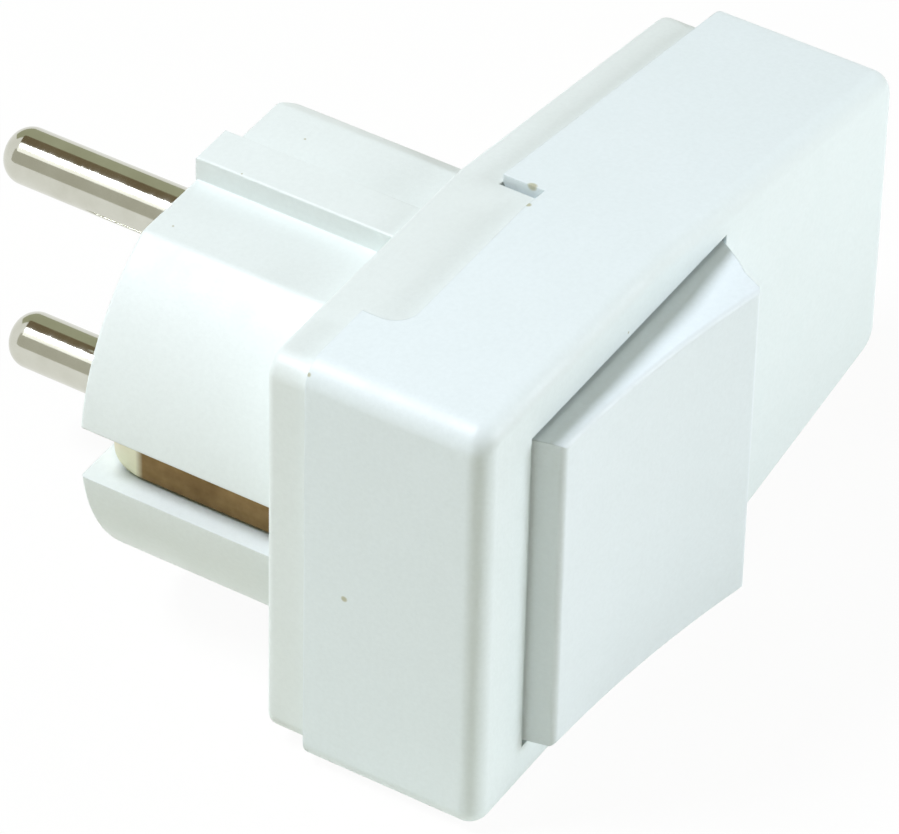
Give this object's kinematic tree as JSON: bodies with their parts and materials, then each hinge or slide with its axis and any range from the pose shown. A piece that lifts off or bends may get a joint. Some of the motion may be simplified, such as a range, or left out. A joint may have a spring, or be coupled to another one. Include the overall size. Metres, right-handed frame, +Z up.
{
  "type": "right-angled earthed mains plug with rocker switch",
  "caption": "White right-angled earthed mains plug: round grooved neck with pins, tapered cover and a rocker switch that fills its wide end.",
  "frame": {"origin": "middle of the face that the pins stand on, halfway between the pins", "axes": "+Y towards the pin tips, +X towards the cord end, +Z up from the lower pin to the upper pin"},
  "size_m": [0.0631, 0.0622, 0.0402],
  "materials": {
    "housing_white": "fine moulded satin white",
    "cover_white": "fine moulded satin white",
    "rocker_white": "fine moulded satin white, a little bluer",
    "nickel_pins": "bright nickel plate",
    "copper_strip": "rolled copper alloy strip",
    "contact_silver": "silver contact face",
    "carrier_grey": "plain grey thermoset",
    "earth_brass": "tarnished brass strip",
    "terminal_brass": "turned brass",
    "plunger_plastic": "natural nylon",
    "spring_steel": "drawn wire",
    "screw_steel": "zinc-plated steel"
  },
  "bodies": {
    "housing": {"base_housing": "housing_white", "front_cover": "cover_white", "live_pin": "nickel_pins", "neutral_pin": "nickel_pins", "live_link": "copper_strip", "neutral_link": "copper_strip", "live_fixed_button": "contact_silver", "neutral_fixed_button": "contact_silver", "live_bracket": "copper_strip", "neutral_bracket": "copper_strip", "contact_carrier": "carrier_grey", "earth_strap": "earth_brass", "earth_link": "earth_brass", "live_terminal": "terminal_brass", "neutral_terminal": "terminal_brass", "earth_terminal": "terminal_brass", "clamp_bar": "housing_white", "terminal_screws": "screw_steel", "clamp_screws": "screw_steel", "carrier_screws": "screw_steel", "housing_screws": "screw_steel"},
    "rocker_body": {"rocker": "rocker_white", "upper_spring": "spring_steel", "lower_spring": "spring_steel"},
    "live_contact": {"live_seesaw": "copper_strip", "live_moving_button": "contact_silver"},
    "neutral_contact": {"neutral_seesaw": "copper_strip", "neutral_moving_button": "contact_silver"},
    "upper_plunger_body": {"upper_plunger": "plunger_plastic"},
    "lower_plunger_body": {"lower_plunger": "plunger_plastic"}
  },
  "joints": [
    {"name": "rocker_hinge", "type": "hinge", "parent": "housing", "child": "rocker_body", "pos_m": [0.0004, -0.0303, 0], "axis": [0, 0, 1], "range_deg": [0, 14.4]},
    {"name": "live_contact_hinge", "type": "hinge", "parent": "housing", "child": "live_contact", "pos_m": [0.0004, -0.0248, 0], "axis": [0, 0, 1], "range_deg": [-14.4, 0]},
    {"name": "neutral_contact_hinge", "type": "hinge", "parent": "housing", "child": "neutral_contact", "pos_m": [0.0004, -0.0248, 0], "axis": [0, 0, 1], "range_deg": [-14.4, 0]},
    {"name": "upper_plunger_slide", "type": "slide", "parent": "rocker_body", "child": "upper_plunger_body", "axis": [-0.1253, -0.9921, 0], "range_m": [0, 0.0005], "stiffness_N_per_m": 400, "springref_m": -0.002},
    {"name": "lower_plunger_slide", "type": "slide", "parent": "rocker_body", "child": "lower_plunger_body", "axis": [-0.1253, -0.9921, 0], "range_m": [0, 0.0005], "stiffness_N_per_m": 400, "springref_m": -0.002}
  ],
  "couplings": [
    {"joint": "live_contact_hinge", "follows": "rocker_hinge", "ratio": -1},
    {"joint": "neutral_contact_hinge", "follows": "rocker_hinge", "ratio": -1}
  ]
}
